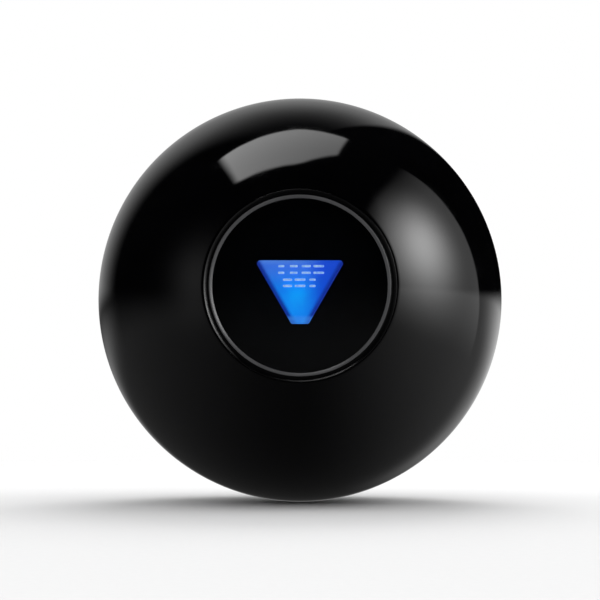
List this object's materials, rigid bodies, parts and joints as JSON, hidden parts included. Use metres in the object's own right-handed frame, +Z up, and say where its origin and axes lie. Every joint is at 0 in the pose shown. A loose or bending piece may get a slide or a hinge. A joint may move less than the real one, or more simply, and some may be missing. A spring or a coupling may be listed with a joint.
{
  "type": "fortune-telling ball",
  "caption": "Glossy black hollow ball with a round bezelled window over a blue die floating in dark liquid, and a flush white imprint disc on the opposite side.",
  "frame": {"origin": "the point where the ball touches a level floor with its axis level, straight below the ball's centre, which is at (0, 0, 0.05)", "axes": "+Z up; -Y out through the window along the ball's axis; +Y out through the imprint disc; +X to the right when looking at the window"},
  "size_m": [0.1, 0.0952, 0.1],
  "materials": {
    "shell_plastic": "polished black",
    "bezel_plastic": "polished black",
    "lens_acrylic": "clear polished acrylic",
    "seal_rubber": "matte black",
    "reservoir_plastic": "moulded satin black",
    "clamp_plastic": "moulded dark grey",
    "screw_steel": "zinc plated",
    "disc_plastic": "smooth white",
    "ink_black": "black inlay",
    "dyed_liquid": "dark blue liquid",
    "die_plastic": "bright blue, translucent look",
    "glyph_paint": "pale blue raised blocks"
  },
  "bodies": {
    "ball": {"window_shell": "shell_plastic", "back_shell": "shell_plastic", "bezel_ring": "bezel_plastic", "window_lens": "lens_acrylic", "window_gasket": "seal_rubber", "reservoir_tube": "reservoir_plastic", "retaining_ring": "clamp_plastic", "reservoir_screws": "screw_steel", "bubble_funnel": "clamp_plastic", "end_cap": "reservoir_plastic", "cap_o_ring": "seal_rubber", "fill_plug": "clamp_plastic", "plug_washer": "seal_rubber", "imprint_disc": "disc_plastic", "disc_ornament": "ink_black"},
    "liquid": {"liquid": "dyed_liquid"},
    "die_core": {"die_core": "dyed_liquid"},
    "die": {"die_front_half": "die_plastic", "die_back_half": "die_plastic", "die_glyphs": "glyph_paint"}
  },
  "joints": [
    {"name": "liquid_swirl", "type": "hinge", "parent": "ball", "child": "liquid", "pos_m": [0, 0, 0.05], "axis": [0, 1, 0], "continuous": true},
    {"name": "die_float", "type": "slide", "parent": "liquid", "child": "die_core", "axis": [0, 1, 0], "range_m": [0, 0.013], "deforming": ["liquid"]},
    {"name": "die_tumble", "type": "hinge", "parent": "die_core", "child": "die", "pos_m": [0, -0.02596, 0.05], "axis": [1, 0, 0], "range_deg": [0, 41.82], "deforming": ["liquid"]}
  ],
  "couplings": [
    {"joint": "die_tumble", "follows": "die_float", "rad_per_m": 56.13}
  ]
}
